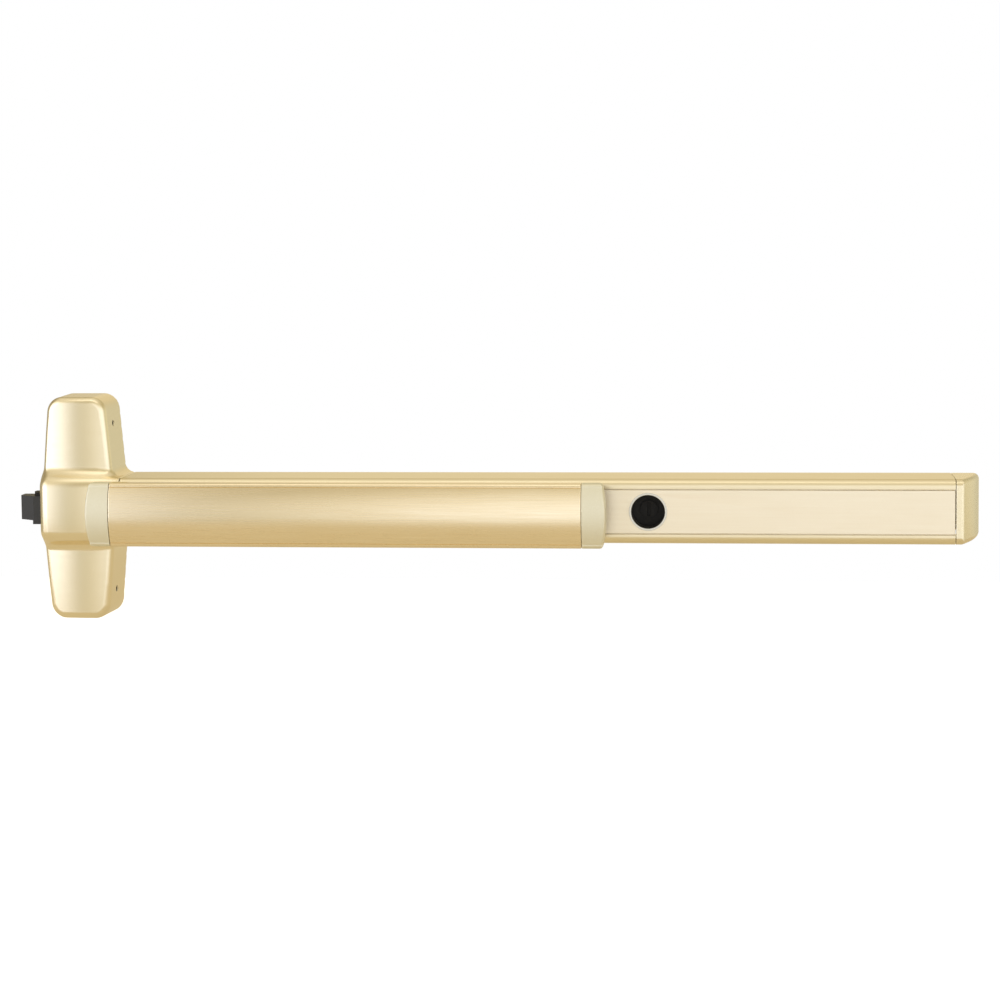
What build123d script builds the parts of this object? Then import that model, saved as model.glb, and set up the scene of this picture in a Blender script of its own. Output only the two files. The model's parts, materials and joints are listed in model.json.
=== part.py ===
"""Rim exit device: a spring latch in a centre case, drawn back by a push bar.

Millimetres. X runs along the device, away from the latch. The door's face is the plane Y = 0
and the device stands out of it towards -Y. Z is up. The origin is on the door's face, on the
device's centre line, at the middle of the centre case. Depth means distance from the door's
face, so a point at depth d has Y = -d.
"""

import os
from math import asin, cos, pi, sin

from build123d import *

# Distance within which two places count as the same
touch = 0.01

# Mechanism case: the long extrusion, with its open front between two lips
case_height = 57.15
case_depth = 57.15
case_corner = 6.5
case_wall = 2.6
back_wall = 2.5
lip_thickness = 2.4
lip_opening = 40.2
case_start = 42.5
case_end = 784.0

# Centre case cover: two tapering lobes, and a deeper band across them
cover_height = 203.2
cover_wall = 2.6
lobe_depth = 47.5
lobe_width = 72.4
lobe_taper = 0.085
lobe_side_draft = 1.0
lobe_end_draft = 0.6
lobe_corner = 9.0
lobe_edge = 8.0
band_left = 33.0
band_left_draft = 3.0
band_height = 63.4
band_depth = 60.3
band_corner = 9.0
band_edge = 6.0
band_valley = 6.0
band_taper_start = 20.0

# Centre case base and its fixings
base_gap = 0.5
door_hole_radius = 2.9
door_hole_spacing_x = 28.0
door_hole_margin = 19.05
tab_thickness = 2.5
tab_height = 12.0
cover_screw_margin = 25.6
cover_screw_depth = 25.0
cover_screw_radius = 2.0
cover_screw_head_radius = 2.6
cover_screw_socket = 1.5
cover_screw_length = 9.0

# Push bar: a formed skin on an inner rail, with a moulded cap at each end
bar_projection = 96.8
bar_stroke = 19.05
bar_start = 42.5
bar_end = 461.7
bar_height = 56.8
bar_flange_depth = 16.5
bar_crown = 4.8
bar_shoulder = 3.5
bar_crease = 0.55
bar_seam = 0.25
bar_skin = 2.0
bar_cap_length = 21.2
bar_cap_wall = 2.2
bar_cap_bulge = 3.0
bar_cap_corner = 4.0
bar_cap_edge = 2.0
bar_cap_tongue = 7.0
bar_cap_tongue_wall = 1.2
bar_rail_web = 2.5
bar_rail_flange = 2.2
bar_rail_height = 38.0
bar_rail_depth = 38.0
bar_rail_set_back = 5.0
bar_rail_end_gap = 0.5
bar_bracket_length = 16.0
bar_bracket_foot_half = 16.4
bar_bracket_screw_radius = 1.5
bar_bracket_screw_head_radius = 2.5
bar_bracket_screw_head = 1.3
bar_pin_head_radius = 4.2
bar_pin_head = 1.0

# Bell cranks, which turn the bar's inward stroke into the rod's stroke along the case
crank_setback_left = 87.5
crank_setback_right = 61.7
crank_arm = 28.0
crank_plate = 3.0
crank_inner_half_width = 4.5
crank_hub_radius = 7.0
crank_end_radius = 5.5
crank_rod_end_radius = 4.4
pivot_radius = 3.0
bar_pin_radius = 3.0
rod_pin_radius = 2.0
running_gap = 0.05
side_gap = 0.3
slot_gap = 0.25

# Base rail and the brackets that stand on it
rail_start = 27.0
rail_lap = 27.1
rail_width = 40.0
rail_thickness = 2.5
rail_screw_radius = 2.0
rail_screw_head_radius = 3.5
rail_screw_head = 1.4
bracket_plate = 2.5
bracket_ear_width = 16.0
bracket_foot_length = 28.0
foot_overhang = 7.5
foot_screw_radius = 1.5
foot_screw_head_radius = 2.6
foot_screw_head = 1.2
rail_screw_reach = 30.0
rail_screw_spread = 40.0
rail_slot_length = 30.0
rail_slot_half = 6.0
rail_slot_corner = 5.5

# Actuating rod, its guides, collar and return spring
rod_width = 5.0
rod_height = 9.0
rod_depth = 13.0
rod_start = 31.0
rod_tail = 17.0
guide_setback = 33.5
guide_from_crank = 38.0
guide_from_cylinder = 47.9
guide_length = 12.0
guide_wall = 3.5
guide_foot_half = 12.0
collar_from_guide = 30.0
collar_length = 5.0
collar_radius = 7.6
spring_length = 49.0
spring_radius = 6.7
spring_wire = 1.5
spring_coils = 7
spring_foot_length = 14.0
coil_steps = 14
coil_sides = 6

# Damper beside the rod
damper_from_spring = 53.0
damper_length = 45.0
damper_radius = 5.5
damper_offset = 12.0
damper_bore = 2.1
damper_plunger_radius = 1.8
damper_plunger_length = 37.0
damper_arm_thickness = 4.0
damper_clamp_wall = 1.8
damper_clamp_length = 16.0

# Latch bolt, deadlatch and their housing
latch_reach = 55.5
latch_height = 22.0
latch_depth_low = 24.0
latch_depth_high = 45.5
latch_tail = -4.0
latch_bevel_length = 14.0
latch_bevel_depth = 9.0
latch_shoulder_reach = 42.0
latch_shoulder = 3.5
latch_rounding = 1.5
stem_radius = 4.0
stem_end = 36.0
latch_spring_wire = 1.1
latch_spring_radius = 5.6
latch_spring_coils = 5
cross_pin_radius = 2.0
cross_pin_position = 33.0
deadlatch_reach = 43.0
deadlatch_tail = -22.0
deadlatch_travel = 8.0
deadlatch_depth_low = 28.0
deadlatch_bevel = 5.0
deadlatch_pin_radius = 1.5
deadlatch_pin = -26.0
deadlatch_pin_sink = 5.0
deadlatch_gap = 0.15
deadlatch_lug = 4.0
deadlatch_spring_wire = 0.6
deadlatch_spring_radius = 1.15
deadlatch_spring_coils = 6
housing_wall = 4.0
housing_start = -30.0
housing_floor = 3.0
housing_ear_position = 22.0
housing_ear = 3.0
housing_plate = 2.0
housing_screw_radius = 1.25
housing_screw_head_radius = 2.2
housing_screw_head = 1.5
housing_screw_length = 7.0

# Latch retractor, the yoke at the rod's end
yoke_inner_half_width = 5.2
yoke_plate = 3.0
yoke_prong_width = 5.4
yoke_reach = 5.0
yoke_foot_length = 16.0
rivet_radius = 1.2

# Front cover plate and the dogging parts behind it
plate_from_bar = 8.3
plate_front_gap = 0.25
plate_tongue = 2.0
plate_tongue_thickness = 1.7
cylinder_from_plate = 47.9
cylinder_radius = 14.9
collar_sleeve_radius = 16.0
collar_flange_radius = 16.7
collar_flange = 0.8
collar_sleeve_end = 40.0
dog_house_length = 40.0
dog_house_front = 37.0
dog_hub_radius = 8.0
dog_hub_flange_radius = 10.0
dog_arm = 12.0
dog_arm_inner = 6.5
dog_arm_width = 6.0
dog_arm_depth = 28.0
dog_tip_depth = 19.5
stud_radius = 3.0
stud_height = 7.0
stud_gap = 0.8

# End cap and end bracket
cap_gap = 0.3
cap_door_length = 24.5
cap_front_length = 8.3
cap_nose = 3.0
cap_tongue = 10.0
cap_wall = 2.4
cap_rib = 1.6
end_bracket_lap = 27.0
end_bracket_reach = 19.0
end_bracket_width = 44.0
end_hole_reach = 10.0
end_hole_spacing = 28.6
end_ear = 3.0
end_ear_half = 4.0
end_tab_depth = 14.0
end_screw_depth = 16.0
end_screw_radius = 2.0
end_screw_head_radius = 3.6
end_screw_length = 9.0

# Places worked out from the sizes above
case_half = case_height / 2
band_half = band_height / 2
door_hole_spacing_z = cover_height - 2 * door_hole_margin
cover_screw_height = cover_height / 2 - cover_screw_margin
plate_start = bar_end + plate_from_bar
cylinder_position = plate_start + cylinder_from_plate
rail_front = back_wall + rail_thickness
foot_front = rail_front + bracket_plate
crank_swing = asin(bar_stroke / 2 / crank_arm)
crank_depth = rod_depth + crank_arm * (1 + cos(crank_swing)) / 2
crank_outer_half_width = crank_inner_half_width + crank_plate
ear_inner_half_width = crank_outer_half_width + 1.0
ear_outer_half_width = ear_inner_half_width + bracket_plate
bar_back = bar_projection - bar_flange_depth
bar_rail_front = bar_projection - bar_crown - bar_rail_set_back
bar_rail_back = bar_rail_front - bar_rail_web
latch_centre = (latch_depth_low + latch_depth_high) / 2
latch_half = latch_height / 2
latch_zone_half = latch_half + latch_shoulder
stud_pressed = cylinder_position + dog_arm + stud_gap + stud_radius
stud_position = stud_pressed - bar_stroke
rod_end = stud_position + rod_tail
rail_end = cylinder_position + rail_lap
crank_positions = {"left": bar_start + crank_setback_left, "right": bar_end - crank_setback_right}
guide_positions = {
    "left": case_start + guide_setback,
    "middle": crank_positions["left"] + guide_from_crank,
    "right": cylinder_position - guide_from_cylinder,
}
collar_position = guide_positions["middle"] + collar_from_guide
spring_seat = collar_position + spring_length
damper_position = spring_seat + damper_from_spring
rail_slot_positions = (collar_position, damper_position)
rail_screw_positions = (
    crank_positions["left"] - rail_screw_reach,
    spring_seat + rail_screw_reach,
    crank_positions["right"] - rail_screw_spread,
    crank_positions["right"] + rail_screw_spread,
)
cap_start = case_end + cap_gap
cap_door_reach = cap_start + cap_door_length
cap_front_reach = cap_start + cap_front_length
end_bracket_start = case_end - end_bracket_lap
end_bracket_end = case_end + end_bracket_reach
end_hole_position = case_end + end_hole_reach


def block(x_low, x_high, depth_low, depth_high, z_low, z_high):
    """Box between the given limits."""
    size = (x_high - x_low, depth_high - depth_low, z_high - z_low)
    centre = ((x_low + x_high) / 2, -(depth_low + depth_high) / 2, (z_low + z_high) / 2)
    return Pos(*centre) * Box(*size)


def bar_x(x_low, x_high, depth, z, radius):
    """Round bar along X."""
    return Pos((x_low + x_high) / 2, -depth, z) * Rot(0, 90, 0) * Cylinder(radius, x_high - x_low)


def bar_y(x, depth_low, depth_high, z, radius):
    """Round bar along Y."""
    return Pos(x, -(depth_low + depth_high) / 2, z) * Rot(90, 0, 0) * Cylinder(radius, depth_high - depth_low)


def bar_z(x, depth, z_low, z_high, radius):
    """Round bar along Z."""
    return Pos(x, -depth, (z_low + z_high) / 2) * Cylinder(radius, z_high - z_low)


def along_x(section, x_low, x_high):
    """A section drawn in Y and Z, extruded along X."""
    return Pos(x_low, 0, 0) * extrude(Plane.YZ * section, x_high - x_low)


def plan(points, z_low, z_high):
    """An outline of (x, depth) points, extruded along Z."""
    face = make_face(Polyline(*[(x, -depth) for x, depth in points], close=True))
    return Pos(0, 0, z_low) * extrude(face, z_high - z_low)


def both_sides(solid):
    """The solid and its mirror image below the centre line."""
    return solid + mirror(solid, about=Plane.XY)


def front_rounded(half_height, depth, corner, depth_low=0.0):
    """Section of a channel's outside: square at the door, round at its two front corners."""
    outline = Pos(-(depth + depth_low) / 2, 0) * Rectangle(depth - depth_low, 2 * half_height)
    return fillet(outline.vertices().group_by(Axis.X)[0], corner)


def coil(x_low, x_high, depth, z, radius, wire, coils):
    """Open compression spring along X, its wire's ends just inside the two seats."""
    steps = coils * coil_steps
    rise = (x_high - x_low - wire) / steps
    angles = [2 * pi * step / coil_steps for step in range(steps + 1)]
    line = [(radius * cos(a), radius * sin(a), rise * step) for step, a in enumerate(angles)]
    path = Polyline(*line)
    wire_face = Plane(path @ 0, z_dir=path % 0) * RegularPolygon(wire / 2, coil_sides)
    spring = sweep(wire_face, path, transition=Transition.RIGHT)
    return Pos(x_low + wire / 2, -depth, z) * Rot(0, 90, 0) * spring


def write(name, *solids):
    """Writes one node, made of one or more separate solids."""
    shape = solids[0] if len(solids) == 1 else Compound(children=list(solids))
    export_step(shape, f"parts/{name}.step")


def lobe_outline(depth, inset):
    """Front view of the two lobes at a depth: widest at the middle, narrowing to both ends."""
    share = depth / lobe_depth
    half_height = cover_height / 2 - lobe_end_draft * share - inset
    middle = lobe_width / 2 - lobe_side_draft * share - inset
    end = middle - lobe_taper * half_height
    corners = [
        (middle, 0),
        (end, half_height),
        (-end, half_height),
        (-middle, 0),
        (-end, -half_height),
        (end, -half_height),
    ]
    lines = Polyline(*[(x, -depth, z) for x, z in corners], close=True)
    return make_face(lines)


def lobes(inset):
    """Both lobes as one drafted block, rounded at its ends and round its front."""
    front = lobe_depth - inset
    body = loft([lobe_outline(0, inset), lobe_outline(front, inset)], ruled=True)
    long_edges = body.edges().filter_by(lambda e: abs(e.center().Z) > cover_height / 4)
    corners = long_edges.filter_by(lambda e: abs((e % 0.5).Y) > 0.8)
    body = fillet(corners, lobe_corner - inset)
    rim = body.edges().filter_by(lambda e: abs(e.center().Y + front) < touch)
    return fillet(rim, lobe_edge - inset)


def band(inset, reach):
    """The band across the lobes, ending in the mechanism case's own section."""
    wide = front_rounded(band_half - inset, band_depth - inset, band_corner - inset)
    narrow = front_rounded(case_half - inset, case_depth - inset, case_corner - inset)
    left = band_left - inset
    far_left = left + 2 * band_left_draft
    draft = [(-far_left, -1), (-left - band_left_draft, 0), (-left, band_depth), (-far_left, band_depth + 1)]
    body = along_x(wide, -left - band_left_draft, band_taper_start) - plan(draft, -band_height, band_height)
    left_edges = body.edges().filter_by(lambda e: e.center().X < touch - left and e.center().Y < -touch)
    body = fillet(left_edges, band_edge - inset)
    first = Pos(band_taper_start, 0, 0) * (Plane.YZ * wide)
    last = Pos(case_start, 0, 0) * (Plane.YZ * narrow)
    body += loft([first.face(), last.face()], ruled=True)
    if reach > 0:
        body += along_x(narrow, case_start, case_start + reach)
    return body


def latch_window(gap):
    """The hole in the cover's flank that the latch bolt and deadlatch come out of."""
    return block(
        -latch_reach,
        housing_start,
        latch_depth_low - gap,
        latch_depth_high + gap,
        -latch_zone_half - gap,
        latch_zone_half + gap,
    )


def cover_screw_sides():
    """The four places of the cover's screws: side along X and height Z."""
    return [(side, z) for side in (-1, 1) for z in (-cover_screw_height, cover_screw_height)]


def flank_at(height, depth, inset):
    """Half width of a lobe at a height and depth."""
    return lobe_width / 2 - lobe_side_draft * depth / lobe_depth - lobe_taper * height - inset


def is_valley(edge):
    """Whether an edge is one of those where the band meets the lobes."""
    middle = edge.center()
    by_height = case_half < abs(middle.Z) < band_half + touch
    by_depth = touch < -middle.Y < lobe_depth + touch
    return by_height and by_depth and middle.X < lobe_width / 2 - lobe_edge


def center_case_cover():
    """Cast cover: lobes and band in one shell, open at the door and towards the case."""
    body = lobes(0) + band(0, 0)
    body = fillet(body.edges().filter_by(is_valley), band_valley)
    body -= lobes(cover_wall)
    body -= band(cover_wall, cover_wall)
    body -= latch_window(side_gap)
    for side, z in cover_screw_sides():
        outer = side * flank_at(cover_screw_height, cover_screw_depth, 0)
        seat = side * flank_at(cover_screw_height, cover_screw_depth, cover_wall / 2)
        body -= bar_x(*sorted((seat, 2 * outer)), cover_screw_depth, z, cover_screw_head_radius + running_gap)
        body -= bar_x(*sorted((seat / 2, outer)), cover_screw_depth, z, cover_screw_radius + running_gap)
    return body


def cover_screws():
    """Four socket screws, set into the cover's flanks."""
    screws = []
    for side, z in cover_screw_sides():
        outer = side * flank_at(cover_screw_height, cover_screw_depth, base_gap)
        seat = side * flank_at(cover_screw_height, cover_screw_depth, cover_wall / 2)
        tip = outer - side * cover_screw_length
        screw = bar_x(*sorted((seat, outer)), cover_screw_depth, z, cover_screw_head_radius)
        screw += bar_x(*sorted((tip, seat)), cover_screw_depth, z, cover_screw_radius)
        hexagon = Pos(-cover_screw_depth, z) * RegularPolygon(cover_screw_socket, 6)
        screws.append(screw - along_x(hexagon, *sorted((seat, 2 * outer))))
    return screws


def center_case_base():
    """Steel plate on the door inside the cover, with tabs for the cover's screws."""
    inset = cover_wall + base_gap
    plate = extrude(lobe_outline(0, inset), back_wall, dir=(0, -1, 0))
    corners = plate.edges().filter_by(Axis.Y).filter_by(lambda e: abs(e.center().Z) > cover_height / 4)
    plate = fillet(corners, lobe_corner)
    tongue_half = case_half - inset
    plate += block(0, case_start - cap_gap, 0, back_wall, -tongue_half, tongue_half)
    tab_front = cover_screw_depth + tab_height / 2
    tab_outer = flank_at(cover_screw_height + tab_height / 2, tab_front, inset)
    for side, z in cover_screw_sides():
        limits = sorted((side * tab_outer, side * (tab_outer - tab_thickness)))
        tab = block(*limits, 0, tab_front, z - tab_height / 2, z + tab_height / 2)
        plate += tab - bar_x(*limits, cover_screw_depth, z, cover_screw_radius + running_gap)
    for x in (-door_hole_spacing_x / 2, door_hole_spacing_x / 2):
        for z in (-door_hole_spacing_z / 2, door_hole_spacing_z / 2):
            plate -= bar_y(x, -1, back_wall + 1, z, door_hole_radius)
    for x, z in rail_screw_places()[:2]:
        plate -= bar_y(x, -1, back_wall + 1, z, rail_screw_radius + running_gap)
    return plate


def pan_screw(x, z, seat, length, radius, head_radius, head):
    """Slotted pan screw that points at the door, its head on a seat."""
    screw = bar_y(x, seat, seat + head, z, head_radius) + bar_y(x, seat - length, seat, z, radius)
    half = radius / 4
    return screw - block(x - head_radius, x + head_radius, seat + head / 2, seat + head, z - half, z + half)


def housing_limits():
    """The latch housing's far end, and its half height inside and outside."""
    inside = latch_zone_half + side_gap
    return housing_ear_position + housing_ear, inside, inside + housing_wall


def housing_screw_places():
    """Places of the four screws that hold the latch housing's front plate."""
    end, inside, outside = housing_limits()
    margin = 2 * housing_screw_head_radius
    z = (inside + outside) / 2
    return [(x, side * z) for x in (housing_start + margin, end - margin) for side in (-1, 1)]


def latch_housing():
    """Channel that guides the latch bolt, with an ear that guides the bolt's stem."""
    end, inside, outside = housing_limits()
    floor_front = latch_depth_low - side_gap
    front = latch_depth_high + side_gap
    body = both_sides(block(housing_start, end, back_wall, front, inside, outside))
    body += block(housing_start, end, floor_front - housing_floor, floor_front, -inside, inside)
    ear = block(housing_ear_position, end, floor_front, front, -inside, inside)
    body += ear - bar_x(housing_ear_position - 1, end + 1, latch_centre, 0, stem_radius + side_gap)
    for x, z in housing_screw_places():
        body -= bar_y(x, front - housing_screw_length, front, z, housing_screw_radius + running_gap)
    return body


def latch_housing_plate():
    """Plate across the front of the latch housing."""
    end, inside, outside = housing_limits()
    back = latch_depth_high + side_gap
    plate = block(housing_start, end, back, back + housing_plate, -outside, outside)
    for x, z in housing_screw_places():
        plate -= bar_y(x, back - 1, back + housing_plate + 1, z, housing_screw_radius + running_gap)
    return plate


def latch_housing_screws():
    """Four small screws through the latch housing's plate."""
    seat = latch_depth_high + side_gap + housing_plate
    size = (housing_screw_length, housing_screw_radius, housing_screw_head_radius, housing_screw_head)
    return [pan_screw(x, z, seat, *size) for x, z in housing_screw_places()]


def latch_bolt():
    """Bevelled bolt with a shoulder below, a lug for the deadlatch spring, and a stem."""
    nose = [
        (latch_tail, latch_depth_low),
        (-latch_reach, latch_depth_low),
        (-latch_reach, latch_depth_high - latch_bevel_depth),
        (latch_bevel_length - latch_reach, latch_depth_high),
        (latch_tail, latch_depth_high),
    ]
    body = plan(nose, -latch_half, latch_half)
    tip = body.edges().filter_by(Axis.Z).filter_by(lambda e: e.center().X < touch - latch_reach)
    body = fillet(tip, latch_rounding)
    depths = (deadlatch_depth_low, latch_depth_high)
    body += block(-latch_shoulder_reach, latch_tail, *depths, -latch_zone_half, -latch_half)
    body += block(latch_tail - deadlatch_lug, latch_tail, *depths, latch_half, latch_zone_half)
    body += bar_x(latch_tail, stem_end, latch_centre, 0, stem_radius)
    body -= bar_z(cross_pin_position, latch_centre, -latch_half, latch_half, cross_pin_radius + running_gap)
    pin_foot = latch_half - deadlatch_pin_sink
    pin_hole = deadlatch_pin_radius + running_gap
    return body - bar_z(deadlatch_pin, latch_centre, pin_foot, latch_zone_half, pin_hole)


def latch_cross_pin():
    """Pin across the latch bolt's stem, which the retractor's prongs push on."""
    reach = yoke_inner_half_width + yoke_plate
    return bar_z(cross_pin_position, latch_centre, -reach, reach, cross_pin_radius)


def latch_spring():
    """Spring round the bolt's stem, which pushes the bolt out."""
    return coil(latch_tail, housing_ear_position, latch_centre, 0, latch_spring_radius, latch_spring_wire,
                latch_spring_coils)


def deadlatch():
    """Flat bolt on top of the latch bolt, with a bevelled tip and a slot for its pin."""
    low = latch_half + deadlatch_gap
    high = latch_zone_half - deadlatch_gap
    tip = [
        (deadlatch_tail, deadlatch_depth_low),
        (-deadlatch_reach, deadlatch_depth_low),
        (-deadlatch_reach, latch_centre),
        (deadlatch_bevel - deadlatch_reach, latch_depth_high - deadlatch_gap),
        (deadlatch_tail, latch_depth_high - deadlatch_gap),
    ]
    room = deadlatch_pin_radius + slot_gap
    slot = block(
        deadlatch_pin - deadlatch_travel - room,
        deadlatch_pin + room,
        latch_centre - room,
        latch_centre + room,
        latch_half,
        latch_zone_half,
    )
    return plan(tip, low, high) - slot


def deadlatch_pin_solid():
    """Pin that keeps the deadlatch on the latch bolt."""
    top = latch_zone_half - deadlatch_gap
    return bar_z(deadlatch_pin, latch_centre, latch_half - deadlatch_pin_sink, top, deadlatch_pin_radius)


def deadlatch_spring():
    """Small spring between the deadlatch and the bolt's lug."""
    z = (latch_half + latch_zone_half) / 2
    return coil(deadlatch_tail, latch_tail - deadlatch_lug, latch_centre, z, deadlatch_spring_radius,
                deadlatch_spring_wire, deadlatch_spring_coils)


def rod_back():
    """Depth of the rod's face that looks at the door."""
    return rod_depth - rod_height / 2


def rod_front():
    """Depth of the rod's face that looks away from the door."""
    return rod_depth + rod_height / 2


def rod_hole(x_low, x_high, gap):
    """Space that the rod takes up between two places, with a gap round it."""
    half = rod_width / 2 + gap
    return block(x_low, x_high, rod_back() - gap, rod_front() + gap, -half, half)


def rivet_places():
    """Places along the rod of the rivets that hold the retractor."""
    return [rod_start + yoke_foot_length * share for share in (0.3, 0.75)]


def latch_retractor():
    """Yoke on the rod's end, whose two prongs draw the latch bolt back."""
    half = yoke_inner_half_width + yoke_plate
    back = rod_front()
    front = back + yoke_plate
    prong = [
        (cross_pin_position - cross_pin_radius - side_gap - yoke_prong_width, back),
        (cross_pin_position - cross_pin_radius - side_gap - yoke_prong_width, latch_centre + yoke_reach),
        (cross_pin_position - cross_pin_radius - side_gap, latch_centre + yoke_reach),
        (cross_pin_position - cross_pin_radius - side_gap, front + yoke_plate),
        (rod_start + yoke_foot_length, front),
        (rod_start + yoke_foot_length, back),
    ]
    yoke = both_sides(plan(prong, yoke_inner_half_width, half))
    yoke += block(rod_start, rod_start + yoke_foot_length, back, front, -half, half)
    for x in rivet_places():
        yoke -= bar_y(x, back - 1, front + 1, 0, rivet_radius + running_gap)
    return yoke


def retractor_rivets():
    """Two rivets from the retractor into the rod."""
    front = rod_front() + yoke_plate
    head = 2 * rivet_radius
    return [
        bar_y(x, rod_depth, front, 0, rivet_radius) + bar_y(x, front, front + rivet_radius, 0, head)
        for x in rivet_places()
    ]


def crank_pin_places(pivot):
    """At rest, the bar pin's and the rod pin's (x, depth), for a crank at the given pivot."""
    side = crank_arm * sin(crank_swing)
    reach = crank_arm * cos(crank_swing)
    return (pivot - reach, crank_depth + side), (pivot - side, crank_depth - reach)


def actuating_rod():
    """Flat rod on edge, slotted for the two cranks' pins."""
    rod = rod_hole(rod_start, rod_end, 0)
    room = rod_pin_radius + slot_gap
    lift = crank_arm * (1 - cos(crank_swing)) / 2 + room
    for pivot in crank_positions.values():
        x = crank_pin_places(pivot)[1][0]
        rod -= block(x - room, x + room, rod_depth - lift, rod_depth + lift, -rod_width, rod_width)
    for x in rivet_places():
        rod -= bar_y(x, rod_depth, rod_front() + 1, 0, rivet_radius + running_gap)
    return rod


def boss_link(start, start_radius, end, end_radius):
    """Outline round two bosses, in plan."""
    first = Pos(start[0], -start[1]) * Circle(start_radius)
    second = Pos(end[0], -end[1]) * Circle(end_radius)
    return make_hull((first.edges() + second.edges()))


def bell_crank(pivot):
    """Two L-shaped plates on one hub: an arm for the bar's pin and an arm for the rod's pin."""
    hub = (pivot, crank_depth)
    bar_pin, rod_pin = crank_pin_places(pivot)
    outline = boss_link(hub, crank_hub_radius, bar_pin, crank_end_radius)
    outline += boss_link(hub, crank_hub_radius, rod_pin, crank_rod_end_radius)
    crank = both_sides(Pos(0, 0, crank_inner_half_width) * extrude(outline, crank_plate))
    half = crank_outer_half_width
    crank += bar_z(*hub, -half, half, crank_hub_radius)
    for place, radius in ((hub, pivot_radius), (bar_pin, bar_pin_radius), (rod_pin, rod_pin_radius)):
        crank -= bar_z(*place, -half - 1, half + 1, radius + running_gap)
    return crank


def crank_bar_pin(pivot):
    """Headed pin in the crank's front arm, which runs in the bar bracket's slots."""
    place = crank_pin_places(pivot)[0]
    head_low = ear_outer_half_width + side_gap
    pin = bar_z(*place, -head_low, head_low, bar_pin_radius)
    return pin + both_sides(bar_z(*place, head_low, head_low + bar_pin_head, bar_pin_head_radius))


def crank_rod_pin(pivot):
    """Plain pin in the crank's rear arm, which runs in the rod's slot."""
    half = crank_outer_half_width + 0.5
    return bar_z(*crank_pin_places(pivot)[1], -half, half, rod_pin_radius)


def crank_pivot_pin(pivot):
    """Pivot pin between the crank bracket's ears, with a head outside each."""
    head_low = ear_outer_half_width + running_gap
    pin = bar_z(pivot, crank_depth, -head_low, head_low, pivot_radius)
    return pin + both_sides(bar_z(pivot, crank_depth, head_low, head_low + bar_pin_head, bar_pin_head_radius))


def foot_screw_places():
    """Places of the screws that hold the brackets, guides and dogging housing to the base rail."""
    places = []
    for pivot in crank_positions.values():
        x = bracket_foot_length / 2 - rail_screw_head_radius
        z = ear_outer_half_width + foot_overhang / 2
        places += [(pivot + a * x, b * z) for a in (-1, 1) for b in (-1, 1)]
    for x in guide_positions.values():
        places += [(x, side * guide_foot_half * 0.75) for side in (-1, 1)]
    places += [(spring_seat + spring_foot_length * 0.65, side * guide_foot_half * 0.75) for side in (-1, 1)]
    return places


def foot_holes(body):
    """The body with the foot screws' holes cut through it."""
    for x, z in foot_screw_places():
        body -= bar_y(x, back_wall, foot_front + 0.1, z, foot_screw_radius + running_gap)
    return body


def foot_screws():
    """Pan screws through the feet, into the base rail."""
    size = (foot_front - back_wall - 0.2, foot_screw_radius, foot_screw_head_radius, foot_screw_head)
    return [pan_screw(x, z, foot_front, *size) for x, z in foot_screw_places()]


def crank_bracket(pivot):
    """Bracket of a foot and two ears, which carries a crank's pivot pin."""
    half = bracket_ear_width / 2
    sides = (ear_inner_half_width, ear_outer_half_width)
    ear = block(pivot - half, pivot + half, rail_front, crank_depth, *sides)
    ear += bar_z(pivot, crank_depth, *sides, half)
    bracket = both_sides(ear)
    foot = ear_outer_half_width + foot_overhang
    length = bracket_foot_length / 2
    bracket += block(pivot - length, pivot + length, rail_front, foot_front, -foot, foot)
    outer = ear_outer_half_width + 1
    return foot_holes(bracket - bar_z(pivot, crank_depth, -outer, outer, pivot_radius + running_gap))


def rod_guide(x):
    """Block on the base rail with a window that the rod slides through."""
    half = rod_width / 2 + side_gap + guide_wall
    low, high = x - guide_length / 2, x + guide_length / 2
    guide = block(low, high, rail_front, rod_front() + side_gap + guide_wall, -half, half)
    guide += block(low, high, rail_front, foot_front, -guide_foot_half, guide_foot_half)
    return foot_holes(guide - rod_hole(low - 1, high + 1, side_gap))


def spring_collar():
    """Collar fixed on the rod, which the return spring pushes on."""
    limits = (collar_position - collar_length, collar_position)
    return bar_x(*limits, rod_depth, 0, collar_radius) - rod_hole(*limits, running_gap)


def return_spring():
    """Spring round the rod, which pushes the rod towards the latch and the bar out."""
    return coil(collar_position, spring_seat, rod_depth, 0, spring_radius, spring_wire, spring_coils)


def spring_bracket():
    """Upright plate that the return spring bears on."""
    x = spring_seat
    half = guide_foot_half
    bracket = block(x, x + bracket_plate, rail_front, rod_depth + collar_radius, -half, half)
    bracket += block(x, x + spring_foot_length, rail_front, foot_front, -half, half)
    return foot_holes(bracket - rod_hole(x - 1, x + spring_foot_length + 1, side_gap))


def damper_cylinder():
    """Closed damper tube beside the rod, with a bore for its plunger."""
    end = damper_position + damper_length
    tube = bar_x(damper_position, end, rod_depth, damper_offset, damper_radius)
    return tube - bar_x(damper_position - 1, end - bracket_plate, rod_depth, damper_offset, damper_bore)


def damper_clamp():
    """Saddle on the base rail that holds the damper."""
    middle = damper_position + damper_length / 2
    reach = damper_radius + damper_clamp_wall
    low, high = middle - damper_clamp_length / 2, middle + damper_clamp_length / 2
    top = rod_depth + damper_radius + damper_clamp_wall
    saddle = block(low, high, rail_front, top, damper_offset - reach, damper_offset + reach)
    return saddle - bar_x(low - 1, high + 1, rod_depth, damper_offset, damper_radius + running_gap)


def damper_plunger():
    """Plunger that slides in the damper's bore."""
    start = damper_position - bar_stroke - side_gap
    return bar_x(start, start + damper_plunger_length, rod_depth, damper_offset, damper_plunger_radius)


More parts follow.
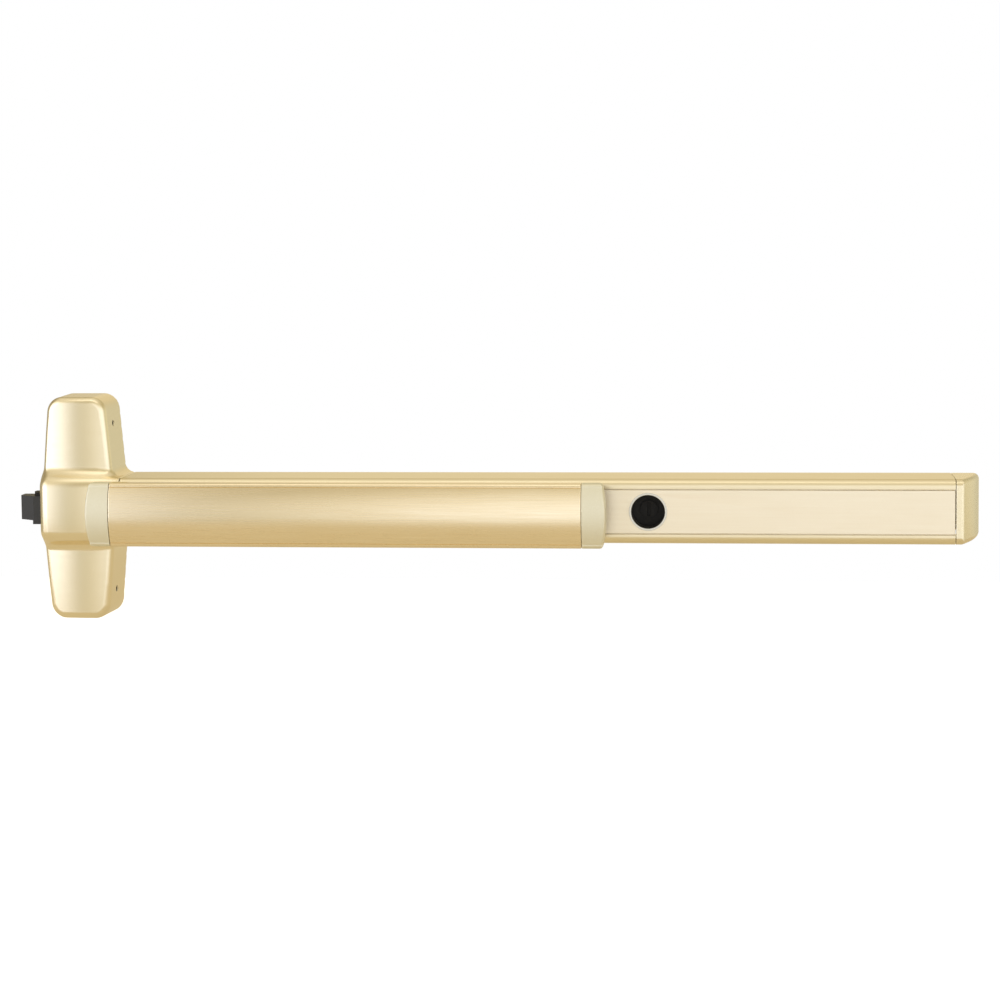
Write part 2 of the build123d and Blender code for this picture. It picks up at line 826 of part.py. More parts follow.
def damper_arm():
    """Arm on the rod's side that pushes the damper's plunger."""
    end = damper_position - bar_stroke - side_gap
    depth = rod_height / 3
    outer = damper_offset + depth
    return block(end - damper_arm_thickness, end, rod_depth - depth, rod_depth + depth, rod_width / 2, outer)


def dogging_stud():
    """Stud on the rod that the dogging hook holds back."""
    return bar_y(stud_position, rod_front(), rod_front() + stud_height, 0, stud_radius)


def dogging_housing():
    """Bridge over the rod that carries the dogging hub."""
    half = rail_width / 2
    low, high = cylinder_position - dog_house_length / 2, cylinder_position + dog_house_length / 2
    house = block(low, high, rail_front, foot_front, -half, half)
    house += both_sides(block(low, high, rail_front, dog_house_front, half - bracket_plate, half))
    house += block(low, high, dog_house_front - bracket_plate, dog_house_front, -half, half)
    hole = dog_hub_radius + running_gap
    return house - bar_y(cylinder_position, foot_front + 1, dog_house_front + 1, 0, hole)


def dogging_hub():
    """Hub turned by the cylinder, with an arm whose tip drops behind the rod's stud."""
    x = cylinder_position
    half = dog_arm_width / 2
    flange_back = dog_arm_depth + bracket_plate
    hub = bar_y(x, dog_arm_depth, dog_house_front - bracket_plate - side_gap, 0, dog_hub_flange_radius)
    hub += bar_y(x, flange_back, dog_house_front + bracket_plate / 2, 0, dog_hub_radius)
    hub += block(x - half, x + half, dog_arm_depth, flange_back, 0, dog_arm)
    hub += block(x - half, x + half, dog_tip_depth, flange_back, dog_arm_inner, dog_arm)
    return hub - block(x - half / 2, x + half / 2, dog_house_front, dog_house_front + 2, -half * 2, half * 2)


def cylinder_collar():
    """Flanged sleeve in the cover plate, for a dogging cylinder."""
    sleeve = bar_y(cylinder_position, collar_sleeve_end, case_depth, 0, collar_sleeve_radius)
    sleeve += bar_y(cylinder_position, case_depth, case_depth + collar_flange, 0, collar_flange_radius)
    return sleeve - bar_y(cylinder_position, collar_sleeve_end - 1, case_depth + 2, 0, cylinder_radius)


def rail_screw_places():
    """Places of the screws through the base rail, the first two into the centre case base."""
    first = (rail_start + case_start) / 2
    return [(x, side * rail_width / 3) for x in (first, *rail_screw_positions) for side in (-1, 1)]


def base_rail():
    """Flat rail along the case's floor, which carries every bracket."""
    rail = block(rail_start, rail_end, back_wall, rail_front, -rail_width / 2, rail_width / 2)
    for x, z in rail_screw_places():
        rail -= bar_y(x, back_wall - 1, rail_front + 1, z, rail_screw_radius + running_gap)
    for x in rail_slot_positions:
        low, high = x - rail_slot_length / 2, x + rail_slot_length / 2
        slot = block(low, high, back_wall, rail_front, -rail_slot_half, rail_slot_half)
        rail -= fillet(slot.edges().filter_by(Axis.Y), rail_slot_corner)
    return foot_holes(rail)


def base_rail_screws():
    """Pan screws that hold the rail to the case's floor and to the centre case base."""
    size = (rail_front - 0.3, rail_screw_radius, rail_screw_head_radius, rail_screw_head)
    return [pan_screw(x, z, rail_front, *size) for x, z in rail_screw_places()]


def mechanism_case():
    """Extruded channel with a floor on the door, two walls and two front lips."""
    inner_corner = case_corner - case_wall
    inside = front_rounded(case_half - case_wall, case_depth - lip_thickness, inner_corner, back_wall)
    mouth = Pos(-case_depth, 0) * Rectangle(case_depth, lip_opening)
    section = front_rounded(case_half, case_depth, case_corner) - inside - mouth
    case = along_x(section, case_start, case_end)
    for x, z in rail_screw_places()[2:]:
        case -= bar_y(x, -1, back_wall + 1, z, rail_screw_radius + running_gap)
    width = end_bracket_width / 2 + cap_gap
    return case - block(end_bracket_start - cap_gap, case_end + 1, -1, back_wall + touch, -width, width)


def cover_plate():
    """Front inlay: a slab between the lips, with tongues behind them."""
    half = lip_opening / 2 - plate_front_gap
    tongue_front = case_depth - lip_thickness - plate_front_gap / 2
    back = tongue_front - plate_tongue_thickness
    wide = 2 * (half + plate_tongue)
    section = Pos(-(back + case_depth) / 2, 0) * Rectangle(case_depth - back, 2 * half)
    section += Pos(-(back + tongue_front) / 2, 0) * Rectangle(plate_tongue_thickness, wide)
    plate = along_x(section, plate_start, case_end)
    return plate - bar_y(cylinder_position, back - 1, case_depth + 1, 0, collar_sleeve_radius + running_gap)


def bar_outline(inset):
    """Section of the push bar: flat flanges, a rounded shoulder and a crowned face."""
    half = bar_height / 2 - inset
    front = bar_projection - inset
    side = front - bar_crown
    corner = bar_shoulder - inset
    edge = half - corner
    turn = sin(pi / 4) * corner
    top = [
        Line((-bar_back, half), (corner - side, half)),
        ThreePointArc((corner - side, half), (corner - side - turn, edge + turn), (-side, edge)),
    ]
    crown = ThreePointArc((-side, edge), (-front, 0), (-side, -edge))
    bottom = [mirror(line, about=Plane.XZ) for line in top]
    back = Line((-bar_back, -half), (-bar_back, half))
    return make_face([*top, crown, *bottom, back])


def bar_creases(x_low, x_high):
    """The two fine grooves where the crowned face meets the shoulders."""
    side = bar_projection - bar_crown
    edge = bar_height / 2 - bar_shoulder
    groove = Pos(-side, edge) * Rot(0, 0, 45) * Rectangle(bar_crease, bar_crease)
    return both_sides(along_x(groove, x_low, x_high))


def push_bar():
    """Formed metal skin of the push bar."""
    section = bar_outline(0) - bar_outline(bar_skin)
    return along_x(section, bar_start, bar_end) - bar_creases(bar_start, bar_end)


def push_bar_rail():
    """Extrusion inside the skin: a web across it and two flanges into the case."""
    half = bar_height / 2 - bar_skin
    flange = bar_rail_height / 2
    gap = bar_cap_tongue + bar_rail_end_gap
    low, high = bar_start + gap, bar_end - gap
    rail = block(low, high, bar_rail_back, bar_rail_front, -half, half)
    back = bar_rail_front - bar_rail_depth
    rail += both_sides(block(low, high, back, bar_rail_back, flange - bar_rail_flange, flange))
    for x, z in bar_screw_places():
        rail -= bar_y(x, bar_rail_back - 1, bar_rail_front + 1, z, bar_bracket_screw_radius + running_gap)
    return rail


def push_bar_cap(inner, outer):
    """Moulded end cap of the push bar: a shell with a bulged end and a tongue in the skin."""
    side = 1 if outer > inner else -1
    half = bar_height / 2
    reach = half + running_gap
    corner_x = outer - side * bar_cap_bulge
    front_view = make_face(
        [
            Line((inner, -reach), (inner, reach)),
            Line((inner, reach), (corner_x, reach)),
            ThreePointArc((corner_x, reach), (outer, 0), (corner_x, -reach)),
            Line((corner_x, -reach), (inner, -reach)),
        ]
    )
    ends = front_view.vertices().filter_by(lambda v: abs(v.X - corner_x) < touch)
    front_view = fillet(ends, bar_cap_corner)
    body = along_x(bar_outline(0), *sorted((inner, outer)))
    body &= extrude(Plane.XZ * front_view, bar_projection + 1)
    side_view = plan([(inner, 0), (outer, 0), (outer, bar_projection), (inner, bar_projection)], -half, half)
    front_edge = side_view.edges().filter_by(Axis.Z).sort_by(lambda e: side * e.center().X - e.center().Y)[-1]
    body &= fillet(front_edge, bar_cap_edge)
    hollow_end = outer - side * (bar_cap_bulge + bar_cap_wall)
    body -= along_x(bar_outline(bar_cap_wall), *sorted((inner, hollow_end)))
    tongue = bar_outline(bar_skin + bar_seam / 2) - bar_outline(bar_skin + bar_seam / 2 + bar_cap_tongue_wall)
    return body + along_x(tongue, *sorted((inner + side * bar_cap_wall, inner - side * bar_cap_tongue)))


def bar_bracket_middle(pivot):
    """Place along X of a bar bracket, over the middle of its pin's travel."""
    return pivot - crank_arm * (1 + cos(crank_swing)) / 2


def bar_screw_places():
    """Places of the screws that hold the bar's brackets to its rail."""
    places = []
    z = (bar_bracket_foot_half + ear_outer_half_width) / 2
    for pivot in crank_positions.values():
        x = bar_bracket_middle(pivot)
        places += [(x + a * bar_bracket_length / 4, b * z) for a in (-1, 1) for b in (-1, 1)]
    return places


def bar_bracket(pivot):
    """Bracket on the bar's rail, with two slotted legs that hold the crank's pin."""
    middle = bar_bracket_middle(pivot)
    low, high = middle - bar_bracket_length / 2, middle + bar_bracket_length / 2
    pin_depth = crank_depth + bar_stroke / 2
    room = bar_pin_radius + slot_gap
    end = pin_depth - room - bracket_plate
    half = bar_bracket_foot_half
    legs = both_sides(block(low, high, end, bar_rail_back, ear_inner_half_width, ear_outer_half_width))
    legs += block(low, high, bar_rail_back - bracket_plate, bar_rail_back, -half, half)
    reach = crank_arm * (1 - cos(crank_swing)) / 2 + room
    outer = ear_outer_half_width + 1
    legs -= block(middle - reach, middle + reach, pin_depth - room, pin_depth + room, -outer, outer)
    for x, z in bar_screw_places():
        legs -= bar_y(x, end, bar_rail_back + 1, z, bar_bracket_screw_radius + running_gap)
    return legs


def bar_bracket_screws():
    """Screws from the bar's brackets into its rail."""
    seat = bar_rail_back - bracket_plate
    screws = []
    for x, z in bar_screw_places():
        shank = bar_y(x, seat, bar_rail_front - 0.2, z, bar_bracket_screw_radius)
        screws.append(shank + bar_y(x, seat - bar_bracket_screw_head, seat, z, bar_bracket_screw_head_radius))
    return screws


def end_cap_form(inset):
    """Outside of the end cap, or of its hollow: a wedge rounded at its front and end."""
    start = cap_start - (1 if inset else 0)
    door = -1 if inset else 0
    front = case_depth - inset
    half = case_half - inset
    slant = [(cap_door_reach - inset, door), (cap_front_reach - inset, front)]
    form = plan([(start, door), *slant, (start, front)], -half, half)
    upright = form.edges().filter_by(Axis.Z).sort_by(lambda e: e.center().X - e.center().Y)[-1]
    form = fillet(upright, cap_nose)
    rim = form.edges().filter_by(lambda e: abs(abs(e.center().Z) - half) < touch)
    rim = rim.filter_by(lambda e: e.center().X > start + touch and e.center().Y < -door - touch)
    return fillet(rim, case_corner - inset)


def end_cap():
    """Moulded end cap: a hollow wedge with two tongues that slide into the case."""
    cap = end_cap_form(0) - end_cap_form(cap_wall)
    outer = case_half - case_wall - cap_gap
    depths = (end_screw_depth, end_screw_depth + case_depth / 2)
    tongue = block(case_end - cap_tongue, cap_start + cap_rib, *depths, outer - cap_rib, outer)
    tongue += block(cap_start, cap_start + cap_rib, *depths, outer - cap_rib, case_half - cap_rib)
    cap += both_sides(tongue)
    place = (end_hole_position, end_screw_depth, -case_half - 1)
    cap -= bar_z(*place, 0, end_screw_radius + running_gap)
    return cap - bar_z(*place, end_screw_seat(), end_screw_head_radius + running_gap)


def end_screw_seat():
    """Height of the seat under the end cap screw's head."""
    return -case_half + cap_wall / 2


def end_cap_screw():
    """Screw through the end cap's underside into the end bracket's ear."""
    seat = end_screw_seat()
    screw = bar_z(end_hole_position, end_screw_depth, seat, -case_half + end_screw_length, end_screw_radius)
    screw += bar_z(end_hole_position, end_screw_depth, -case_half + 0.1, seat, end_screw_head_radius)
    return screw - bar_z(end_hole_position, end_screw_depth, -case_half, seat - 0.3, end_screw_radius / 2)


def end_bracket():
    """Plate on the door under the end cap, with two tabs in the case and an ear for the cap's screw."""
    half = end_bracket_width / 2
    bracket = block(end_bracket_start, end_bracket_end, 0, back_wall, -half, half)
    tab = block(end_bracket_start, case_end - cap_tongue - 1, 0, end_tab_depth, half - bracket_plate, half)
    bracket += both_sides(tab)
    ear_low = -case_half + cap_wall + cap_gap
    ear_x = (end_hole_position - end_ear_half, end_hole_position + end_ear_half)
    ear = block(*ear_x, 0, end_screw_depth + end_ear_half, ear_low, ear_low + end_ear)
    ear += block(*ear_x, 0, back_wall, ear_low, -half)
    bracket += ear - bar_z(end_hole_position, end_screw_depth, -case_half, 0, end_screw_radius + running_gap)
    for z in (-end_hole_spacing / 2, end_hole_spacing / 2):
        bracket -= bar_y(end_hole_position, -1, back_wall + 1, z, door_hole_radius)
    return bracket


os.makedirs("parts", exist_ok=True)
write("center_case_cover", center_case_cover())
write("cover_screws", *cover_screws())
write("center_case_base", center_case_base())
write("latch_housing", latch_housing())
write("latch_housing_plate", latch_housing_plate())
write("latch_housing_screws", *latch_housing_screws())
write("latch_bolt", latch_bolt())
write("latch_cross_pin", latch_cross_pin())
write("latch_spring", latch_spring())
write("deadlatch", deadlatch())
write("deadlatch_pin", deadlatch_pin_solid())
write("deadlatch_spring", deadlatch_spring())
write("latch_retractor", latch_retractor())
write("retractor_rivets", *retractor_rivets())
write("actuating_rod", actuating_rod())
write("spring_collar", spring_collar())
write("return_spring", return_spring())
write("spring_bracket", spring_bracket())
write("damper_cylinder", damper_cylinder())
write("damper_clamp", damper_clamp())
write("damper_plunger", damper_plunger())
write("damper_arm", damper_arm())
write("dogging_stud", dogging_stud())
write("dogging_housing", dogging_housing())
write("dogging_hub", dogging_hub())
write("cylinder_collar", cylinder_collar())
write("mechanism_case", mechanism_case())
write("base_rail", base_rail())
write("base_rail_screws", *base_rail_screws())
write("foot_screws", *foot_screws())
write("cover_plate", cover_plate())
write("push_bar", push_bar())
write("push_bar_rail", push_bar_rail())
write("push_bar_cap_left", push_bar_cap(bar_start - bar_seam, bar_start - bar_cap_length))
write("push_bar_cap_right", push_bar_cap(bar_end + bar_seam, bar_end + bar_cap_length))
write("bar_bracket_screws", *bar_bracket_screws())
write("end_cap", end_cap())
write("end_cap_screw", end_cap_screw())
write("end_bracket", end_bracket())
for name, x in guide_positions.items():
    write(f"rod_guide_{name}", rod_guide(x))
for name, pivot in crank_positions.items():
    write(f"bell_crank_{name}", bell_crank(pivot))
    write(f"crank_bar_pin_{name}", crank_bar_pin(pivot))
    write(f"crank_rod_pin_{name}", crank_rod_pin(pivot))
    write(f"crank_pivot_pin_{name}", crank_pivot_pin(pivot))
    write(f"crank_bracket_{name}", crank_bracket(pivot))
    write(f"bar_bracket_{name}", bar_bracket(pivot))
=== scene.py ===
import json
import math

import bpy
import numpy as np
from mathutils import Matrix, Vector
from mathutils.geometry import tessellate_polygon

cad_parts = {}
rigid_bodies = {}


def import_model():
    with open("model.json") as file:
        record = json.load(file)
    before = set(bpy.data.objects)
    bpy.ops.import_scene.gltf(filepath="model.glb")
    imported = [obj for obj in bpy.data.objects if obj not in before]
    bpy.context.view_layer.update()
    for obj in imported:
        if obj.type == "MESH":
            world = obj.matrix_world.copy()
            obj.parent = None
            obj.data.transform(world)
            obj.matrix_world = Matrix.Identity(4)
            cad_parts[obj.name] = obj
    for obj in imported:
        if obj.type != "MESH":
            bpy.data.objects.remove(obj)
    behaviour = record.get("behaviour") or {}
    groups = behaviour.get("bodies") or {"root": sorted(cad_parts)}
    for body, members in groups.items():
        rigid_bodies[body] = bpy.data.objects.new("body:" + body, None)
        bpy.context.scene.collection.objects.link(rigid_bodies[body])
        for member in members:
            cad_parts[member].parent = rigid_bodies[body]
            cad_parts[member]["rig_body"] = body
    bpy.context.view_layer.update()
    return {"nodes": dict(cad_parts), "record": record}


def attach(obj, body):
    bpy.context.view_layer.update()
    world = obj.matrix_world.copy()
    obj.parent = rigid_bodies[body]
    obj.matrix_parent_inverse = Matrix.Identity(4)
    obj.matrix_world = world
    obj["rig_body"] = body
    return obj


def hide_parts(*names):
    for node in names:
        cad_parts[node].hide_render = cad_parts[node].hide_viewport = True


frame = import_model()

nodes = frame["nodes"]

MM = 0.001

# Sizes that the CAD model has too, in mm
running_gap = 0.05
side_gap = 0.3
case_height = 57.15
case_depth = 57.15
case_corner = 6.5
case_wall = 2.6
case_start = 42.5
case_end = 784.0
lip_thickness = 2.4
lip_opening = 40.2

cover_height = 203.2
cover_wall = 2.6
cover_screw_margin = 25.6
cover_screw_depth = 25.0
cover_screw_head_radius = 2.6
lobe_depth = 47.5
lobe_width = 72.4
lobe_taper = 0.085
lobe_side_draft = 1.0
lobe_end_draft = 0.6
band_left = 33.0
band_left_draft = 3.0
band_height = 63.4
band_depth = 60.3
band_taper_start = 20.0
latch_depth_low = 24.0
latch_depth_high = 45.5
latch_zone_half = 14.5

bar_projection = 96.8
bar_start = 42.5
bar_end = 461.7
bar_height = 56.8
bar_flange_depth = 16.5
bar_crown = 4.8
bar_shoulder = 3.5
bar_seam = 0.25
bar_skin = 2.0
bar_cap_length = 21.2
bar_cap_wall = 2.2
bar_cap_bulge = 3.0
bar_cap_tongue = 7.0
bar_cap_tongue_wall = 1.2

plate_from_bar = 8.3
plate_front_gap = 0.25
plate_tongue = 2.0
plate_tongue_thickness = 1.7
cylinder_from_plate = 47.9
collar_sleeve_radius = 16.0

cap_gap = 0.3
cap_tongue = 10.0
cap_wall = 2.4
cap_rib = 1.6
end_screw_depth = 16.0
end_screw_radius = 2.0
end_screw_head_radius = 3.6

# Sizes that only the pieces below have, in mm
lobe_corner = 13.0
lobe_crown = 190.0
lobe_crown_top = 8.0
lobe_rim = 5.0
lobe_rim_growth = 1.5
band_crown_across = 230.0
band_crown_along = 300.0
band_edge = 12.0
band_left_edge = 9.0
valley = 7.0
window_end = -20.0
cover_end_gap = 0.9
cover_end_edge = 0.5
plate_half = 19.2
cap_seam = 0.5


def arc_radius(half_width, rise):
    """Radius of the arc that rises so far in the middle of a width."""
    return (half_width ** 2 + rise ** 2) / (2 * rise)


# Sizes and places worked out from the ones above
case_half = case_height / 2
cover_half = cover_height / 2
cover_screw_height = cover_half - cover_screw_margin
lobe_half = lobe_width / 2
band_half = band_height / 2
bar_half = bar_height / 2
bar_back = bar_projection - bar_flange_depth
bar_side = bar_projection - bar_crown
bar_edge = bar_half - bar_shoulder
bar_crown_radius = round(arc_radius(bar_edge, bar_crown), 2)
bar_crown_centre = bar_projection - bar_crown_radius
plate_start = bar_end + plate_from_bar
plate_step = case_depth - lip_thickness - plate_front_gap / 2
plate_back = plate_step - plate_tongue_thickness
plate_tongue_half = lip_opening / 2 - plate_front_gap + plate_tongue
cylinder_x = plate_start + cylinder_from_plate
cap_start = case_end + cap_gap

# Camera's turn, dip and roll in degrees, and its place in metres
camera_angles = (6.382, 4.368, 0.62)
camera_place = (0.6144, -2.0795, 0.2542)

# Floor, in metres
floor_low = (-1.6, -1.1)
floor_high = (2.4, 1.6)
floor_height = -0.32


def new_material(name):
    """A node material with a principled shader joined to its output."""
    material = bpy.data.materials.new(name)
    material.use_nodes = True
    tree = material.node_tree
    tree.nodes.clear()
    shader = tree.nodes.new("ShaderNodeBsdfPrincipled")
    output = tree.nodes.new("ShaderNodeOutputMaterial")
    tree.links.new(shader.outputs["BSDF"], output.inputs["Surface"])
    return material, tree, shader


def linear(colour):
    """A colour given as 0 to 255 sRGB, in linear values."""
    return [((c / 255 + 0.055) / 1.055) ** 2.4 if c > 10 else c / 255 / 12.92 for c in colour]


def mapped(tree, scale):
    """Object coordinates, stretched by a scale."""
    coordinates = tree.nodes.new("ShaderNodeTexCoord")
    mapping = tree.nodes.new("ShaderNodeMapping")
    mapping.inputs["Scale"].default_value = scale
    tree.links.new(coordinates.outputs["Object"], mapping.inputs["Vector"])
    return mapping.outputs["Vector"]


def noise(tree, vector, scale, detail=3.0, roughness=0.6):
    """A noise texture's grey value."""
    texture = tree.nodes.new("ShaderNodeTexNoise")
    texture.inputs["Scale"].default_value = scale
    texture.inputs["Detail"].default_value = detail
    texture.inputs["Roughness"].default_value = roughness
    tree.links.new(vector, texture.inputs["Vector"])
    return texture.outputs["Fac"]


def ramp(tree, value, low, high, start=0.0, end=1.0):
    """A value between start and end, taken to the range from low to high."""
    node = tree.nodes.new("ShaderNodeMapRange")
    node.inputs["From Min"].default_value = start
    node.inputs["From Max"].default_value = end
    node.inputs["To Min"].default_value = low
    node.inputs["To Max"].default_value = high
    tree.links.new(value, node.inputs["Value"])
    return node.outputs["Result"]


def mix(tree, factor, first, second):
    """Two colours mixed by a value."""
    node = tree.nodes.new("ShaderNodeMix")
    node.data_type = "RGBA"
    tree.links.new(factor, node.inputs["Factor"])
    for socket, colour in ((node.inputs["A"], first), (node.inputs["B"], second)):
        if isinstance(colour, (list, tuple)):
            socket.default_value = (*colour, 1.0)
        else:
            tree.links.new(colour, socket)
    return node.outputs["Result"]


def metal(name, colour, shade, edge, roughness, spread, grain, fineness, bump, soften=0.0004):
    """Brushed or cast metal: grain in its colour, roughness and height, and paler worn edges.

    The grain runs from colour to shade, and soften is the radius in metres that edges are shaded with.
    """
    material, tree, shader = new_material(name)
    shader.inputs["Metallic"].default_value = 1.0
    lines = noise(tree, mapped(tree, grain), fineness, detail=4.0, roughness=0.65)
    cloud = noise(tree, mapped(tree, (1.0, 1.0, 1.0)), 22.0, detail=3.0, roughness=0.55)
    base = mix(tree, ramp(tree, lines, 0.0, 1.0, start=0.3, end=0.7), linear(colour), linear(shade))
    tone = mix(tree, ramp(tree, cloud, 0.0, 0.35, start=0.35, end=0.7), base, linear(shade))
    pointed = tree.nodes.new("ShaderNodeNewGeometry").outputs["Pointiness"]
    worn = ramp(tree, pointed, 0.0, 0.5, start=0.51, end=0.58)
    tree.links.new(mix(tree, worn, tone, linear(edge)), shader.inputs["Base Color"])
    gloss = ramp(tree, lines, roughness - spread, roughness + spread, start=0.25, end=0.75)
    tree.links.new(gloss, shader.inputs["Roughness"])
    relief = tree.nodes.new("ShaderNodeBump")
    relief.inputs["Strength"].default_value = bump
    relief.inputs["Distance"].default_value = 0.0001
    tree.links.new(lines, relief.inputs["Height"])
    if soften:
        rounded = tree.nodes.new("ShaderNodeBevel")
        rounded.samples = 6
        rounded.inputs["Radius"].default_value = soften
        tree.links.new(rounded.outputs["Normal"], relief.inputs["Normal"])
    tree.links.new(relief.outputs["Normal"], shader.inputs["Normal"])
    return material


brushed_along = (2.0, 90.0, 90.0)
brushed_short = (3.0, 60.0, 60.0)
grainy = (60.0, 60.0, 60.0)


def cast_brass():
    """Smooth satin brass of the centre case cover."""
    return metal("cast_brass", (246, 234, 203), (243, 230, 198), (250, 244, 228),
                 roughness=0.26, spread=0.008, grain=brushed_short, fineness=8.0, bump=0.03, soften=0.0)


def case_brass():
    """Satin brass of the mechanism case, brushed along it."""
    return metal("case_brass", (236, 220, 179), (228, 210, 166), (248, 240, 216),
                 roughness=0.33, spread=0.05, grain=brushed_along, fineness=9.0, bump=0.16)


def inlay_brass():
    """Pale satin brass of the cover plate."""
    return metal("inlay_brass", (243, 230, 203), (238, 223, 194), (252, 246, 230),
                 roughness=0.40, spread=0.04, grain=brushed_along, fineness=10.0, bump=0.15)


def bar_brass():
    """Brushed brass of the push bar's skin."""
    return metal("bar_brass", (248, 234, 204), (241, 223, 186), (252, 244, 224),
                 roughness=0.26, spread=0.04, grain=brushed_along, fineness=9.0, bump=0.18, soften=0.0)


def cap_brass():
    """Dull greenish brass of the push bar's caps."""
    return metal("cap_brass", (237, 233, 213), (231, 226, 204), (244, 238, 218),
                 roughness=0.55, spread=0.05, grain=grainy, fineness=20.0, bump=0.2, soften=0.0)


def end_brass():
    """Brass tone of the end cap."""
    return metal("end_brass", (243, 232, 202), (236, 223, 188), (246, 240, 220),
                 roughness=0.28, spread=0.04, grain=grainy, fineness=20.0, bump=0.2, soften=0.0)


def latch_steel():
    """Dark steel of the latch bolt."""
    return metal("latch_steel", (51, 52, 53), (41, 42, 43), (92, 92, 92),
                 roughness=0.46, spread=0.08, grain=grainy, fineness=24.0, bump=0.35)


# Painted shade: the dogging parts behind the cylinder hole take this near-black steel so the hole reads
# dark; the deadlatch is dark steel of its own.
def deadlatch_steel():
    """Duller dark steel of the deadlatch, and of the dogging parts, which are darkened to paint the shade
    inside the open cylinder hole.
    """
    return metal("deadlatch_steel", (52, 52, 53), (44, 44, 45), (56, 56, 56),
                 roughness=0.62, spread=0.08, grain=grainy, fineness=24.0, bump=0.2)


def plated_steel():
    """Plated steel of the brackets, plates, guides and cranks inside."""
    return metal("plated_steel", (176, 178, 180), (150, 152, 154), (205, 205, 205),
                 roughness=0.38, spread=0.08, grain=grainy, fineness=8.0, bump=0.25)


def rod_steel():
    """Drawn steel of the rod, the pins and other turned pieces."""
    return metal("rod_steel", (160, 160, 164), (138, 138, 142), (200, 200, 202),
                 roughness=0.3, spread=0.07, grain=brushed_along, fineness=9.0, bump=0.3)


def spring_steel():
    """Darker steel wire of the springs."""
    return metal("spring_steel", (118, 118, 122), (88, 88, 92), (170, 170, 172),
                 roughness=0.34, spread=0.07, grain=grainy, fineness=12.0, bump=0.2)


def screw_steel():
    """Brownish steel of the screws and rivets."""
    return metal("screw_steel", (96, 90, 78), (70, 66, 58), (160, 154, 140),
                 roughness=0.38, spread=0.08, grain=grainy, fineness=30.0, bump=0.25)


def rail_aluminium():
    """Extruded aluminium of the push bar's rail."""
    return metal("rail_aluminium", (196, 197, 198), (176, 177, 179), (224, 224, 224),
                 roughness=0.4, spread=0.06, grain=brushed_along, fineness=9.0, bump=0.3)


def damper_body():
    """Dark tube of the damper."""
    return metal("damper_body", (70, 70, 74), (52, 52, 56), (120, 120, 124),
                 roughness=0.4, spread=0.06, grain=brushed_along, fineness=12.0, bump=0.2)


def ring_chrome():
    """Bright rim of the cylinder collar."""
    return metal("ring_chrome", (208, 204, 192), (188, 184, 170), (228, 226, 216),
                 roughness=0.26, spread=0.05, grain=grainy, fineness=20.0, bump=0.1)


def place(name, vertices, faces, node, slot, normals=None):
    """A piece from vertices in mm, which stands for a CAD node and rides with its body."""
    mesh = bpy.data.meshes.new(name)
    mesh.from_pydata([tuple(float(c) * MM for c in v) for v in vertices], [], faces)
    mesh.validate()
    piece = bpy.data.objects.new(name, mesh)
    bpy.context.scene.collection.objects.link(piece)
    for polygon in mesh.polygons:
        polygon.use_smooth = True
    if normals is not None:
        set_normals(mesh, normals)
    mesh.materials.append(materials[slot])
    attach(piece, nodes[node]["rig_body"])
    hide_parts(node)
    return piece


def set_normals(mesh, field_normal, limit=0.8):
    """Corner normals from a field's slope, or the face's own where the field has an edge."""
    points = np.empty(len(mesh.vertices) * 3)
    mesh.vertices.foreach_get("co", points)
    slope = field_normal(points.reshape(-1, 3) / MM)
    corner_vertex = np.empty(len(mesh.loops), np.int32)
    mesh.loops.foreach_get("vertex_index", corner_vertex)
    flat = np.empty(len(mesh.polygons) * 3)
    mesh.polygons.foreach_get("normal", flat)
    sizes = np.empty(len(mesh.polygons), np.int32)
    mesh.polygons.foreach_get("loop_total", sizes)
    flat = np.repeat(flat.reshape(-1, 3), sizes, axis=0)
    corner = slope[corner_vertex]
    same = (corner * flat).sum(1) > limit
    mesh.normals_split_custom_set(np.where(same[:, None], corner, flat).tolist())


def surface_net(field, low, high, step):
    """Vertices and quads of the surface where a distance field in mm is zero."""
    axes = [np.arange(a, b + step, step) for a, b in zip(low, high)]
    value = field(*np.meshgrid(*axes, indexing="ij"))
    cells = tuple(n - 1 for n in value.shape)
    total = np.zeros((*cells, 3))
    count = np.zeros(cells)
    crossings = []
    for axis in range(3):
        first = [slice(None)] * 3
        second = [slice(None)] * 3
        first[axis] = slice(None, -1)
        second[axis] = slice(1, None)
        a, b = value[tuple(first)], value[tuple(second)]
        index = np.array(np.nonzero((a < 0) != (b < 0)))
        others = [k for k in range(3) if k != axis]
        keep = np.all([(index[k] > 0) & (index[k] < cells[k]) for k in others], axis=0)
        index = index[:, keep]
        start, end = a[tuple(index)], b[tuple(index)]
        point = np.stack([axes[k][index[k]] for k in range(3)], axis=1)
        point[:, axis] += step * start / (start - end)
        corners = []
        for shift in ((0, 0), (-1, 0), (-1, -1), (0, -1)):
            cell = index.copy()
            cell[others[0]] += shift[0]
            cell[others[1]] += shift[1]
            total[tuple(cell)] += point
            count[tuple(cell)] += 1
            corners.append(np.ravel_multi_index(tuple(cell), cells))
        quads = np.stack(corners, axis=1)
        # Around Y the two other axes run the other way round
        outward = (start >= 0) if axis == 1 else (start < 0)
        quads[~outward] = quads[~outward][:, ::-1]
        crossings.append(quads)
    used = np.nonzero(count.ravel())[0]
    number = np.full(count.size, -1)
    number[used] = np.arange(len(used))
    vertices = total.reshape(-1, 3)[used] / count.ravel()[used][:, None]
    return vertices, number[np.concatenate(crossings)]


def slope_of(field, reach=0.05):
    """A function that gives the outward direction of a distance field at points."""
    def normal(points):
        columns = []
        for axis in range(3):
            ahead, behind = points.copy(), points.copy()
            ahead[:, axis] += reach
            behind[:, axis] -= reach
            columns.append(field(*ahead.T) - field(*behind.T))
        slope = np.stack(columns, axis=1)
        return slope / np.maximum(np.linalg.norm(slope, axis=1), 1e-9)[:, None]
    return normal


